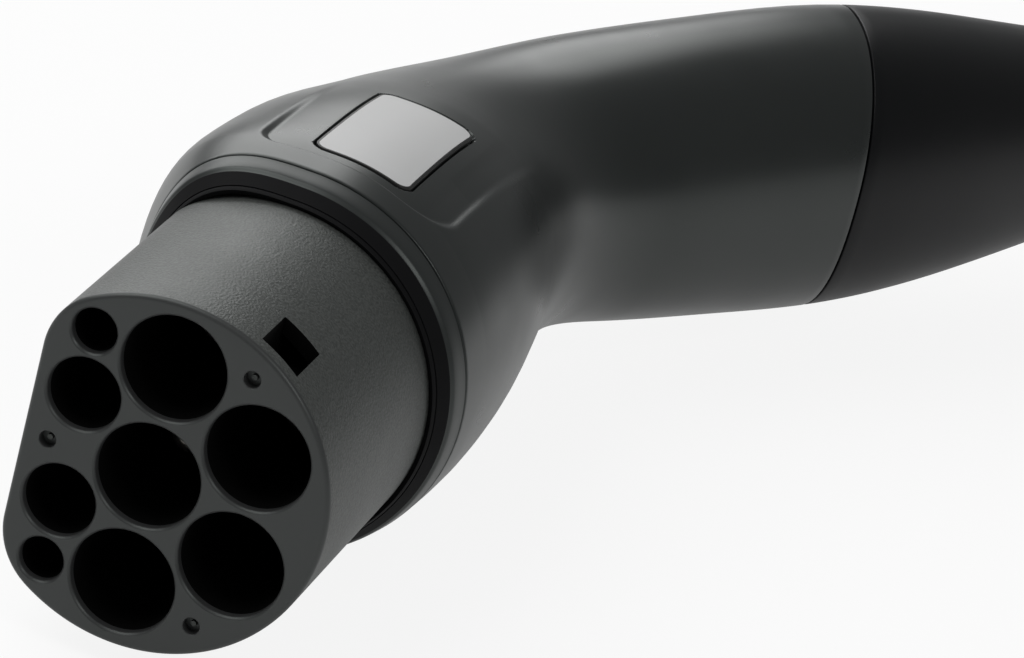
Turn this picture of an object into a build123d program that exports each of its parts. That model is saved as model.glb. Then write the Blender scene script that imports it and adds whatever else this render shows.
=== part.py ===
"""Charging plug with a round, flat-sided contact nose and a bent hollow grip.

Working frame: the earth contact's axis is the X axis, x = 0 on the mating face, +X back into the
plug; +Y is the flat side of the nose and the grip bends towards -Y; the plug is alike on both
sides of the plane Z = 0.  When everything is made, it is moved so that the origin lies under the
middle of the plug, on the surface that it rests on.
"""
from build123d import *
from math import cos, sin, radians, copysign, pi
import os

# ---------------------------------------------------------------- driving sizes, millimetres
PITCH = 17.5                     # distance between neighbouring power contacts
NOSE_R = 27.8                    # round part of the nose outline
NOSE_FLAT = 19.8                 # contact axis to the flat side
CORNER_R = 11.4                  # corners between the flat and the round part
FACE_EDGE_R = 0.7

POWER_HOLE_R = 8.1
SIGNAL_HOLE_R = 5.65
GUIDE_HOLE_R = 3.45
HOLE_DEPTH = 40.0
GUIDE_DEPTH = 36.0
MOUTH_CHAMFER = 0.4
WEB = 4.0                        # wall at the bottom of the holes, which the contacts pass
DIMPLE_R = 1.33
DIMPLE_DEPTH = 1.6

RING_FRONT = 44.1                # where the front ring meets the nose
RIM_X = 48.0                     # widest edge of the ring's sloping front
SEAM_X = 51.6                    # parting line between the front ring and the housing
FLANGE_X = 57.3                  # carrier flange, held between the ring's skirt and the housing
FLANGE_T = 3.0
SEAL_T = 0.8
SHOULDER_T = 3.4
CARRIER_END = 68.0
RETAINER_T = 3.0

WALL = 2.8
BEND_START = 104.0               # the grip leaves the nose axis here
BEND_R = 104.0
BEND_ANGLE = 32.7
CAP_SEAM_S = 216.0               # distance along the centre line to the cap's parting plane
CAP_SEAM_TILT = 24.7             # the parting plane leans by this much to the bend's inside
CABLE_R = 8.25

# Half sizes of the body across its centre line: distance along it, towards the flat side,
# away from it, and up or down.
STATIONS = [
    (SEAM_X, 23.7, 31.4, 31.4),
    (60.0, 26.9, 31.9, 31.7),
    (72.0, 28.0, 31.8, 31.3),
    (88.0, 27.9, 30.6, 30.0),
    (104.0, 26.3, 28.4, 27.5),
    (122.0, 23.8, 25.8, 24.5),
    (142.0, 22.2, 23.8, 22.8),
    (165.0, 22.0, 23.6, 24.2),
    (190.0, 22.0, 23.6, 25.6),
    (216.0, 21.6, 23.6, 26.2),
    (245.0, 19.8, 21.6, 23.4),
    (272.0, 17.3, 18.3, 18.9),
    (290.0, 15.5, 15.9, 16.0),
    (298.0, 14.6, 14.6, 14.6),
]

# Places on the face as (y, z)
POWER = {
    "pe": (0.0, 0.0),
    "n": (0.0, PITCH),
    "l1": (0.0, -PITCH),
    "l2": (-PITCH * cos(radians(30)), PITCH / 2),
    "l3": (-PITCH * cos(radians(30)), -PITCH / 2),
}
SIGNAL = {"cp": (12.1, PITCH / 2), "pp": (12.1, -PITCH / 2)}
GUIDES = [(12.7, 18.8), (12.7, -18.8)]
DIMPLES = [(-11.7, 20.3), (-11.7, -20.3), (15.8, 0.0)]

parts = {}


# ---------------------------------------------------------------- outlines and helpers
def nose_outline(grow=0.0):
    """Face across X: a circle cut by the flat, with rounded corners, grown by a distance."""
    radius = NOSE_R + grow
    flat = NOSE_FLAT + grow
    corner = CORNER_R + grow
    disc = Circle(radius)
    keep = Pos(0, flat - 2 * radius) * Rectangle(4 * radius, 4 * radius)
    outline = disc & keep
    corners = [v for v in outline.vertices() if abs(v.Y - flat) < 0.01]
    return fillet(corners, corner)


def across(sketch, x):
    """Turn a flat outline, drawn as (z, y), so that it stands across X at x."""
    return Plane(origin=(x, 0, 0), x_dir=(0, 0, 1), z_dir=(-1, 0, 0)) * sketch


def along_x(sketch, x0, x1):
    """Prism between two places along X."""
    return extrude(across(sketch, x0), amount=-(x1 - x0))


def rod(radius, x0, x1, y=0.0, z=0.0):
    """Round bar along X."""
    return Pos((x0 + x1) / 2, y, z) * Rot(0, 90, 0) * Cylinder(radius, x1 - x0)


def centre_line(s):
    """Point and direction at a distance along the body's centre line: straight, arc, straight."""
    turn = radians(BEND_ANGLE)
    angle = min(max((s - BEND_START) / BEND_R, 0.0), turn)
    after = max(s - BEND_START - BEND_R * turn, 0.0)
    x = min(s, BEND_START) + BEND_R * sin(angle) + after * cos(turn)
    y = -BEND_R * (1 - cos(angle)) - after * sin(turn)
    return x, y, angle


def section(station, inset):
    """Closed outline of the body at a station: two half super-ellipses, squarer near the nose."""
    s, plus, minus, high = station
    x, y, angle = centre_line(s)
    near = min(max((110.0 - s) / 50.0, 0.0), 1.0)
    power_plus = 2.25 + 0.75 * near
    power_minus = 2.25 - 0.25 * near
    points = []
    count = 20
    for i in range(count):
        t = 2 * pi * i / count
        c = cos(t)
        side, power = (plus, power_plus) if c > 0 else (minus, power_minus)
        across_n = copysign((side - inset) * abs(c) ** (2 / power), c)
        across_z = copysign((high - inset) * abs(sin(t)) ** (2 / power), sin(t))
        points.append((x + across_n * sin(angle), y + across_n * cos(angle), across_z))
    return Wire([Edge.make_spline(points, periodic=True)])


def body(inset=0.0, count=len(STATIONS) - 1):
    """Solid inside the body's skin at an inset, a number or a function of the distance."""
    depth = inset if callable(inset) else (lambda s: inset)
    return Solid.make_loft([section(station, depth(station[0])) for station in STATIONS[:count]])


def cap_plane(beyond_seam=0.0):
    """The cap's parting plane, or one moved along its normal: away from the nose is positive."""
    x, y, angle = centre_line(CAP_SEAM_S)
    lean = angle + radians(CAP_SEAM_TILT)
    normal = Vector(cos(lean), -sin(lean), 0)
    point = Vector(x, y, 0) + normal * beyond_seam
    return Plane(origin=point, z_dir=normal, x_dir=(0, 0, 1))


def before(solid, plane):
    return split(solid, bisect_by=plane, keep=Keep.BOTTOM)


def beyond(solid, plane):
    return split(solid, bisect_by=plane, keep=Keep.TOP)


def at_line(s, shape):
    """Place a shape at a distance along the centre line, its own Z along the line."""
    x, y, angle = centre_line(s)
    line = Vector(cos(angle), -sin(angle), 0)
    return Plane(origin=(x, y, 0), z_dir=line, x_dir=(0, 0, 1)) * shape


def ring_wall(x0, x1, outer, inner):
    """Short tube along X with the nose's outline, given by how far it grows out of the nose."""
    return along_x(nose_outline(outer), x0, x1) - along_x(nose_outline(inner), x0 - 1, x1 + 1)


def slab(size_n, size_z, length, s, shift_z=0.0):
    """Block on the centre line, its length along the line."""
    return at_line(s, Pos(shift_z, 0, 0) * Box(size_z, size_n, length))


# ---------------------------------------------------------------- contact carrier: nose moulding
WINDOW_X = (2.9, 12.5)           # locking windows, one on each side, behind the face
WINDOW_Y = (-17.2, -10.9)
WINDOW_FLOOR = 18.0
CORE_R = 25.4                    # inside of the outer wall over the cored pocket
CORE_END = 34.0
BODY_HOLE_R = 4.75
SIGNAL_BODY_HOLE_R = 3.05
RETAINER_SCREWS = [(13.6, 0.0), (-20.6, 0.0)]


def contact_carrier():
    nose = along_x(nose_outline(), 0, FLANGE_X + 0.5)
    front = nose.faces().sort_by(Axis.X)[0]
    nose = fillet(front.edges(), FACE_EDGE_R)
    nose += along_x(nose_outline(1.7), FLANGE_X, FLANGE_X + FLANGE_T)
    nose += along_x(nose_outline(-1.4), FLANGE_X, CARRIER_END)
    cuts = []
    for y, z in POWER.values():
        cuts += hole(POWER_HOLE_R, HOLE_DEPTH, y, z)
        cuts.append(rod(PIN_R + 0.1, HOLE_DEPTH - 1, HOLE_DEPTH + WEB + 1, y, z))
        cuts.append(rod(BODY_HOLE_R, HOLE_DEPTH + WEB, CARRIER_END + 1, y, z))
    for y, z in SIGNAL.values():
        cuts += hole(SIGNAL_HOLE_R, HOLE_DEPTH, y, z)
        cuts.append(rod(SIGNAL_PIN_R + 0.1, HOLE_DEPTH - 1, HOLE_DEPTH + WEB + 1, y, z))
        cuts.append(rod(SIGNAL_BODY_HOLE_R, HOLE_DEPTH + WEB, CARRIER_END + 1, y, z))
    for y, z in GUIDES:
        cuts += hole(GUIDE_HOLE_R, GUIDE_DEPTH, y, z)
    for y, z in DIMPLES:
        cuts.append(rod(DIMPLE_R, -1, DIMPLE_DEPTH, y, z) - rod(0.45, DIMPLE_DEPTH - 0.5, DIMPLE_DEPTH, y, z))
    for y, z in RETAINER_SCREWS:
        cuts.append(rod(1.3, CARRIER_END - 12, CARRIER_END + 1, y, z))
    for side in (1, -1):
        cuts += lock_window(side)
    return nose - cuts


def hole(radius, depth, y, z):
    """Blind round hole from the face with a small chamfer at its mouth."""
    mouth = Pos(MOUTH_CHAMFER / 2 - 0.01, y, z) * Rot(0, 90, 0) * Cone(
        radius + MOUTH_CHAMFER, radius, MOUTH_CHAMFER + 0.02)
    return [rod(radius, -1, depth, y, z), mouth]


def lock_window(side):
    """Rectangular window for the car's locking bolt, and the cored pocket behind it."""
    x0, x1 = WINDOW_X
    y0, y1 = WINDOW_Y
    y_mid = (y0 + y1) / 2
    window = Pos((x0 + x1) / 2, y_mid, side * (WINDOW_FLOOR + 6)) * Box(x1 - x0, y1 - y0, 12)
    core = Pos((x0 + CORE_END) / 2, y_mid, side * (WINDOW_FLOOR + 6)) * Box(CORE_END - x0, y1 - y0, 12)
    return [window, core & rod(CORE_R, x0, CORE_END)]


# ---------------------------------------------------------------- contacts: turned pins
PIN_R = 3.0
SIGNAL_PIN_R = 1.5
CONTACT_BODY_R = 4.65
SIGNAL_BODY_R = 2.95
CONTACT_START = HOLE_DEPTH + WEB
TIP_X = {"pe": 16.0, "n": 18.0, "l1": 18.0, "l2": 18.0, "l3": 18.0, "cp": 21.0, "pp": 19.0}


def contact(tip, pin_r, body_r, barrel_r, barrel_end, crimp_r, crimp_depth):
    """Turned contact as one revolved outline: rounded pin, thick seat, crimp barrel."""
    nose_len = pin_r * 0.9
    lines = Polyline(
        (tip + nose_len, pin_r), (CONTACT_START, pin_r), (CONTACT_START, body_r),
        (CARRIER_END, body_r), (CARRIER_END, barrel_r), (barrel_end, barrel_r),
        (barrel_end, crimp_r), (barrel_end - crimp_depth, crimp_r),
        (barrel_end - crimp_depth - crimp_r * 0.5, 0), (tip, 0), (tip, pin_r * 0.35))
    crown = ThreePointArc((tip, pin_r * 0.35), (tip + nose_len * 0.3, pin_r * 0.8), (tip + nose_len, pin_r))
    return revolve(make_face([lines, crown]), Axis.X)


def power_contact(name):
    y, z = POWER[name]
    return Pos(0, y, z) * contact(TIP_X[name], PIN_R, CONTACT_BODY_R, 3.9, 85.0, 2.9, 13.0)


def signal_contact(name):
    y, z = SIGNAL[name]
    return Pos(0, y, z) * contact(TIP_X[name], SIGNAL_PIN_R, SIGNAL_BODY_R, 2.1, 79.0, 1.3, 8.0)


# ---------------------------------------------------------------- retainer behind the contacts
def contact_retainer():
    plate = along_x(nose_outline(-2.0), CARRIER_END, CARRIER_END + RETAINER_T)
    holes = [rod(4.05, CARRIER_END - 1, CARRIER_END + 9, y, z) for y, z in POWER.values()]
    holes += [rod(2.2, CARRIER_END - 1, CARRIER_END + 9, y, z) for y, z in SIGNAL.values()]
    holes += [rod(1.4, CARRIER_END - 1, CARRIER_END + 9, y, z) for y, z in RETAINER_SCREWS]
    return plate - holes


def retainer_screws():
    """Two pan-head screws from behind, with cross recesses left plain."""
    seat = CARRIER_END + RETAINER_T
    screws = []
    for y, z in RETAINER_SCREWS:
        head = rod(2.6, seat, seat + 1.9, y, z)
        head = chamfer(head.faces().sort_by(Axis.X)[-1].edges(), 0.5)
        head -= rod(1.0, seat + 0.9, seat + 3, y, z)
        screws.append(head + rod(1.25, CARRIER_END - 11, seat + 0.2, y, z))
    return screws


def coding_resistor():
    """Resistor soldered between the earth and proximity contacts' barrels."""
    y, z = SIGNAL["pp"]
    reach = (y * y + z * z) ** 0.5
    lean = Plane(origin=(76.0, 0, 0), z_dir=(0, y, z), x_dir=(1, 0, 0))
    start = 3.9
    end = reach - 2.1
    middle = (start + end) / 2
    lead = Pos(0, 0, middle) * Cylinder(0.35, end - start)
    bead = Pos(0, 0, middle) * Cylinder(1.3, 5.0)
    bead = fillet(bead.edges(), 0.5)
    return lean * (bead + lead)


# ---------------------------------------------------------------- front ring and its rubber face
RIM = (RIM_X, 23.1, 30.8, 30.8)
CONE_START = (RING_FRONT, 20.5, 28.5, 28.5)
FACE_SEAL_T = 1.3
GROOVE = 0.5


def cone_front(shift=0.0):
    """Solid under the ring's sloping front, up to the parting line."""
    stations = [CONE_START, RIM]
    wires = [section((s + shift, *sizes), 0.0) for s, *sizes in stations]
    cone = Solid.make_loft(wires, True)
    end = section((SEAM_X, *STATIONS[0][1:]), 0.0)
    return cone + Solid.make_loft([section((RIM_X + shift, *RIM[1:]), 0.0), end], True)


def seam_groove(x0, x1):
    """Shallow groove round the parting line between the front ring and the housing."""
    sizes = STATIONS[0][1:]
    outside = Solid.make_loft([section((x, *sizes), -2.0) for x in (x0, x1)], True)
    inside = Solid.make_loft([section((x, *sizes), GROOVE) for x in (x0 - 1, x1 + 1)], True)
    return outside - inside


def front_faces():
    """The ring and the thin rubber washer let into its sloping front."""
    whole = cone_front()
    under = cone_front(FACE_SEAL_T)
    lip = Solid.make_loft([section((x, *RIM[1:]), 0.6) for x in (40.0, SEAM_X - 1)], True)
    washer = (whole - under) & lip
    bore = along_x(nose_outline(0.1), RING_FRONT - 2, FLANGE_X + 1)
    washer -= bore
    skirt = along_x(nose_outline(1.7), SEAM_X - 0.5, FLANGE_X)
    ring = whole - washer - bore - seam_groove(SEAM_X - GROOVE / 2, SEAM_X) + (skirt - bore)
    return ring, washer


# ---------------------------------------------------------------- housing: bulb and grip, one shell
PANEL_X = (57.5, 112.0)          # shallow thumb recess round the label plate
PANEL_Y = (-20.3, 13.0)
PANEL_DEPTH = 0.8
PANEL_FADE = 104.0               # the recess runs out where the bulb falls away
PLATE_CENTRE = (79.5, -3.7)
PLATE_SIZE = (35.0, 16.2)
PLATE_T = 0.9
PLATE_GAP = 0.4
BEAD = 0.5


def panel_depth(s):
    return PANEL_DEPTH * min(max((PANEL_FADE - s) / (PANEL_FADE - PANEL_X[0]), 0.0), 1.0)


def upright(centre, size, corner):
    """Prism up through the top of the bulb, a rectangle with rounded corners."""
    return extrude(Pos(centre[0], centre[1], 10) * RectangleRounded(*size, corner), amount=40)


def plate_blank(grow):
    return upright(PLATE_CENTRE, (PLATE_SIZE[0] + 2 * grow, PLATE_SIZE[1] + 2 * grow), 2.4 + grow)


def inner_space(inset):
    """The hollow of the body behind the shoulder that holds the carrier."""
    hollow = body(inset)
    shoulder_end = FLANGE_X + FLANGE_T + SEAL_T + SHOULDER_T
    return hollow - Pos(shoulder_end - 50, 0, 0) * Box(100, 100, 100)


def belt(outer, inner, start, end):
    """Band of the body's own section, between two insets and two distances from the cap's seam."""
    ring = body(outer) - body(inner)
    return beyond(before(ring, cap_plane(end)), cap_plane(start))


def housing(outer, hollow):
    shell = before(outer, cap_plane()) - hollow
    mouth = along_x(nose_outline(1.8), SEAM_X - 1, FLANGE_X + FLANGE_T + SEAL_T)
    shell -= mouth
    shell -= along_x(nose_outline(-1.2), SEAM_X - 1, FLANGE_X + FLANGE_T + SEAL_T + SHOULDER_T + 1)
    recess_mid = ((PANEL_X[0] + PANEL_X[1]) / 2, (PANEL_Y[0] + PANEL_Y[1]) / 2)
    recess_size = (PANEL_X[1] - PANEL_X[0], PANEL_Y[1] - PANEL_Y[0])
    floor = body(panel_depth, 7)
    shell -= upright(recess_mid, recess_size, 5.0) - floor
    pocket_floor = body(lambda s: panel_depth(s) + PLATE_T + 0.1, 7)
    shell -= plate_blank(PLATE_GAP) - pocket_floor
    shell -= belt(WALL - BEAD - 0.05, WALL + 1, -8.1, -5.9)
    shell -= belt(-1, GROOVE, -GROOVE / 2, 0)
    shell -= seam_groove(SEAM_X, SEAM_X + GROOVE / 2)
    return shell


def label_plate():
    top = body(lambda s: panel_depth(s) + 0.1, 7)
    bottom = body(lambda s: panel_depth(s) + PLATE_T + 0.1, 7)
    return (plate_blank(0.0) & top) - bottom


# ---------------------------------------------------------------- rear cap, its seal and bead
SPIGOT_T = 2.2
SPIGOT_LEN = 10.0


def rear_cap(outer, hollow):
    shell = beyond(outer, cap_plane()) - hollow
    shell -= at_line(290, Cylinder(SEAT_R, 40))
    shell += belt(WALL + 0.1, WALL + SPIGOT_T, -SPIGOT_LEN, 0)
    shell += belt(WALL - BEAD, WALL + 1, -8.0, -6.0)
    shell += belt(WALL - 0.3, WALL + SPIGOT_T, 0, 3.0)
    shell -= belt(-1, GROOVE, 0, GROOVE / 2)
    return shell - belt(WALL - 1, WALL + 0.9, -4.6, -2.0)


def cap_seal():
    return belt(WALL + 0.05, WALL + 0.9, -4.5, -2.1)


# ---------------------------------------------------------------- cable seal and clamp in the cap
SEAT_R = 11.0
CLAMP_S = 254.0
CLAMP_LEN = 12.0
CLAMP_GAP = 0.8
CLAMP_EAR_Z = 5.0
CLAMP_HUMP = 2.2
CLAMP_SCREWS = (11.4, -11.4)


def cable_seal():
    """Rubber sleeve in the cap's end, with a flange inside the cap."""
    x_mid = 291.0
    sleeve = at_line(x_mid, Cylinder(SEAT_R, 14.0))
    flange = at_line(283.0, Cylinder(12.6, 2.0))
    bore = at_line(288.0, Cylinder(CABLE_R, 40.0))
    return sleeve + flange - bore


def clamp_half(side, hollow):
    """Half of the cord clamp: the saddle fills the cap's lower side, the bridge is a strap."""
    trough = at_line(CLAMP_S, Cylinder(CABLE_R, 40))
    holes = [at_line(CLAMP_S, Pos(0, n, 0) * Rot(0, 90, 0) * Cylinder(1.6, 24)) for n in CLAMP_SCREWS]
    gap = CLAMP_GAP / 2
    if side < 0:
        block = slab(60, 30, CLAMP_LEN, CLAMP_S, -15 - gap)
    else:
        ears = slab(29, CLAMP_EAR_Z - gap, CLAMP_LEN, CLAMP_S, (CLAMP_EAR_Z + gap) / 2)
        hump = at_line(CLAMP_S, Cylinder(CABLE_R + CLAMP_HUMP, CLAMP_LEN))
        block = ears + (hump & slab(60, 30, CLAMP_LEN, CLAMP_S, 15 + gap))
    return (hollow & block) - trough - holes


def clamp_screws():
    screws = []
    for n in CLAMP_SCREWS:
        head = Pos(CLAMP_EAR_Z + 1.0, n, 0) * Rot(0, 90, 0) * Cylinder(2.4, 2.0)
        shank = Pos(CLAMP_EAR_Z - 6.4, n, 0) * Rot(0, 90, 0) * Cylinder(1.4, 13.0)
        slot = Pos(CLAMP_EAR_Z + 2.0, n, 0) * Box(1.6, 0.9, 6.0)
        screws.append(at_line(CLAMP_S, head + shank - slot))
    return screws


# ---------------------------------------------------------------- put together and write
def build():
    outer = body(0.0, len(STATIONS))
    hollow = inner_space(WALL)
    parts["contact_carrier"] = contact_carrier()
    for name in POWER:
        parts["pin_" + name] = power_contact(name)
    for name in SIGNAL:
        parts["pin_" + name] = signal_contact(name)
    parts["contact_retainer"] = contact_retainer()
    parts["retainer_screws"] = retainer_screws()
    parts["coding_resistor"] = coding_resistor()
    seal_x = FLANGE_X + FLANGE_T
    parts["carrier_seal"] = ring_wall(seal_x, seal_x + SEAL_T, 1.6, -1.0)
    parts["front_ring"], parts["face_seal"] = front_faces()
    parts["housing"] = housing(outer, hollow)
    parts["label_plate"] = label_plate()
    parts["rear_cap"] = rear_cap(outer, hollow)
    parts["cap_seal"] = cap_seal()
    parts["cable_seal"] = cable_seal()
    parts["clamp_saddle"] = clamp_half(-1, hollow)
    parts["clamp_bridge"] = clamp_half(1, hollow)
    parts["clamp_screws"] = clamp_screws()


def solids_of(shape):
    if isinstance(shape, list):
        return [s for one in shape for s in solids_of(one)]
    return list(shape.solids())


build()
whole = Compound(children=[s for shape in parts.values() for s in solids_of(shape)])
box = whole.bounding_box()
SHIFT = Vector(-(box.min.X + box.max.X) / 2, -(box.min.Y + box.max.Y) / 2, -box.min.Z)
os.makedirs("parts", exist_ok=True)
for node, shape in parts.items():
    placed = [Pos(*SHIFT) * s for s in solids_of(shape)]
    export_step(placed[0] if len(placed) == 1 else Compound(children=placed), f"parts/{node}.step")
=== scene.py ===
import bmesh
import bpy
import numpy as np
from math import cos, sin, radians, pi
from mathutils import Matrix, Vector
from mathutils.geometry import delaunay_2d_cdt


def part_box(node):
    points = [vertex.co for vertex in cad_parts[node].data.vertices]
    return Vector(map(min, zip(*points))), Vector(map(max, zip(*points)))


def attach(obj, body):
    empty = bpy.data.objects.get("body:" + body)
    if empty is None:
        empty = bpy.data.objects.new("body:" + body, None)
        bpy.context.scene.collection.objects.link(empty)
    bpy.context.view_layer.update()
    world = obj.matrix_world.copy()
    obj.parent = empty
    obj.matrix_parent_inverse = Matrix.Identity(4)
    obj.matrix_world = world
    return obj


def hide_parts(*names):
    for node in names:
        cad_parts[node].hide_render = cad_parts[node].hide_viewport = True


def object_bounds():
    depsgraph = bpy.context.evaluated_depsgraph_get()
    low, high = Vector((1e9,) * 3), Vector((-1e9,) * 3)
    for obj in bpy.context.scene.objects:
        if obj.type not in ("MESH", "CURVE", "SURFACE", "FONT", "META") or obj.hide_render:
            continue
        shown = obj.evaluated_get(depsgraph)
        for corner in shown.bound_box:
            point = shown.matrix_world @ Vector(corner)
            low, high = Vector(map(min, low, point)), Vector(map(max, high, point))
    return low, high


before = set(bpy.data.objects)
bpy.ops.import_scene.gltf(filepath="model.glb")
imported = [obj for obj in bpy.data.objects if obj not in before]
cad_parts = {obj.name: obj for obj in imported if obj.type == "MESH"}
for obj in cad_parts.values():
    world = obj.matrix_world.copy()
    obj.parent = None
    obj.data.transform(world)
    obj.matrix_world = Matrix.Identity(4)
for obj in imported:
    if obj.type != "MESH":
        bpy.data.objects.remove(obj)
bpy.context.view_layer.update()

# ============================================================ housing
# The bulb and the grip are one hollow moulding in satin black plastic, open at the nose end for
# the contact carrier and at the rear for the cap. Its outline is a flattened round carried along
# a line that runs straight behind the nose and then bends 32.7 degrees into the grip.
MM = 0.001
FLANGE_REACH = 29.5                    # contact axis to the carrier flange's round edge
low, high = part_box("contact_carrier")
# earth contact's axis on the mating face: millimetre places in this script start from here
NOSE_FACE = np.array([low[0], low[1] + FLANGE_REACH * MM, (low[2] + high[2]) / 2])

BEND_START, BEND_R, BEND_ANGLE = 104.0, 104.0, radians(32.7)
# distance along the line, reach towards the flat side, reach away from it, half height
STATIONS = np.array([
    (51.6, 23.7, 31.4, 31.4), (60, 26.9, 31.9, 31.7), (72, 28.0, 31.8, 31.3), (88, 27.9, 30.6, 30.0),
    (104, 26.3, 28.4, 27.5), (122, 23.8, 25.8, 24.5), (142, 22.2, 23.8, 22.8), (165, 22.0, 23.6, 24.2),
    (190, 22.0, 23.6, 25.6), (216, 21.6, 23.6, 26.2), (245, 19.8, 21.6, 23.4), (272, 17.3, 18.3, 18.9),
    (290, 15.5, 15.9, 16.0), (298, 14.6, 14.6, 14.6)])
SEAM_X, CAP_SEAM, CAP_TILT, WALL = 51.6, 219.5, radians(28.5), 2.8
# half of the groove at a parting line, as distance from the seam and inset of the surface
GROOVE_EDGE = [(0.0, 0.5), (0.25, 0.5), (0.27, 0.16), (0.36, 0.05)]
GROOVE_LAND = 0.55                     # distance from the seam at which the surface is full again
SQUARE_END = 200.0                     # grid rows stand square to the line up to here
PANEL_ROWS_END = 100.0                 # the fine rows for the panel and the label end here
SEAT_END, SEAT_WALL = 60.85, 1.8       # thinner wall in the mouth, where ring and carrier sit


def spline(at, known, values):
    """Natural cubic spline: each span is a cubic whose slope and bend match its neighbours'."""
    step = np.diff(known)
    count = len(known)
    system = np.eye(count)
    right = np.zeros(count)
    for i in range(1, count - 1):
        system[i, i - 1:i + 2] = step[i - 1], 2 * (step[i - 1] + step[i]), step[i]
        right[i] = 6 * ((values[i + 1] - values[i]) / step[i] - (values[i] - values[i - 1]) / step[i - 1])
    bend = np.linalg.solve(system, right)
    i = np.clip(np.searchsorted(known, at) - 1, 0, count - 2)
    a, b, h = known[i + 1] - at, at - known[i], step[i]
    return (bend[i] * a ** 3 + bend[i + 1] * b ** 3) / (6 * h) + (values[i] / h - bend[i] * h / 6) * a + (
        values[i + 1] / h - bend[i + 1] * h / 6) * b


def reaches(s):
    """The three half sizes of the body at each distance, read from one spline per column."""
    return [spline(s, STATIONS[:, 0], STATIONS[:, k]) for k in (1, 2, 3)]


def centre_line(s):
    """Straight to the bend, a circular arc, then straight again: place and angle at a distance."""
    angle = np.clip((s - BEND_START) / BEND_R, 0, BEND_ANGLE)
    after = np.maximum(s - BEND_START - BEND_R * BEND_ANGLE, 0)
    x = np.minimum(s, BEND_START) + BEND_R * np.sin(angle) + after * cos(BEND_ANGLE)
    y = -BEND_R * (1 - np.cos(angle)) - after * sin(BEND_ANGLE)
    return x, y, angle


def squareness(s, towards_flat):
    """Power of the half super-ellipse: 3 on the flat side near the nose, easing to 2.25."""
    near = np.clip((110.0 - s) / 50.0, 0, 1)
    return np.where(towards_flat, 2.25 + 0.75 * near, 2.25 - 0.25 * near)


def skin(s, turn, inset, sizes=None):
    """Body surface: across = side |cos t|^(2/p), up = height |sin t|^(2/p), both less the inset,
    set square to the centre line at distance s. All arguments are arrays of one shape."""
    plus, minus, tall = reaches(s) if sizes is None else sizes
    c, up = np.cos(turn), np.sin(turn)
    power = 2 / squareness(s, c > 0)
    side = np.where(c > 0, plus, minus)
    across = np.sign(c) * (side - inset) * np.abs(c) ** power
    rise = np.sign(up) * (tall - inset) * np.abs(up) ** power
    x, y, angle = centre_line(s)
    return np.stack([x + across * np.sin(angle), y + across * np.cos(angle), rise], -1)


def turn_of(across, s, side):
    """Angle t at which the body's surface has a given distance across, on its upper half."""
    power = squareness(s, across > 0) / 2
    ratio = np.clip(np.abs(across) / side, 0, 1)
    c = np.sign(across) * ratio ** power
    return np.arccos(c)


def quads(rows, cols, close_rows=False, close_cols=False):
    """Faces of a grid of points stored row by row, joined round where asked."""
    r = np.arange(rows if close_rows else rows - 1)[:, None]
    c = np.arange(cols if close_cols else cols - 1)[None, :]
    r1, c1 = (r + 1) % rows, (c + 1) % cols
    return np.stack([r * cols + c, r * cols + c1, r1 * cols + c1, r1 * cols + c], -1).reshape(-1, 4)


def piece_from(name, points, faces, sharp=35.0):
    """Mesh object from points in millimetres of the plug's own frame, smooth up to an angle."""
    mesh = bpy.data.meshes.new(name)
    mesh.from_pydata((np.asarray(points).reshape(-1, 3) * MM + NOSE_FACE).tolist(), [],
                     [list(map(int, f)) for f in faces])
    mesh.update()
    mesh.shade_smooth()
    mesh.set_sharp_from_angle(angle=radians(sharp))
    obj = bpy.data.objects.new(name, mesh)
    bpy.context.scene.collection.objects.link(obj)
    return obj


def rounded_box_distance(x, y, centre, size, corner, low_corner=None):
    """Signed distance to a rectangle with rounded corners, negative inside it. The corners on
    the side of falling y may have a radius of their own."""
    corner = corner if low_corner is None else np.where(y < centre[1], low_corner, corner)
    qx = np.abs(x - centre[0]) - size[0] / 2 + corner
    qy = np.abs(y - centre[1]) - size[1] / 2 + corner
    outside = np.hypot(np.maximum(qx, 0), np.maximum(qy, 0))
    return outside + np.minimum(np.maximum(qx, qy), 0) - corner


def ease(t):
    """Smooth step from 0 to 1: 3 t^2 - 2 t^3 between the two."""
    t = np.clip(t, 0, 1)
    return t * t * (3 - 2 * t)


LARGE_SCALE, LARGE_SHARE = 0.31, 0.3   # coarser grain: its scale to the fine one's, and its share
MOTTLE_SCALE = 55.0                    # waves in a metre


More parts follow.
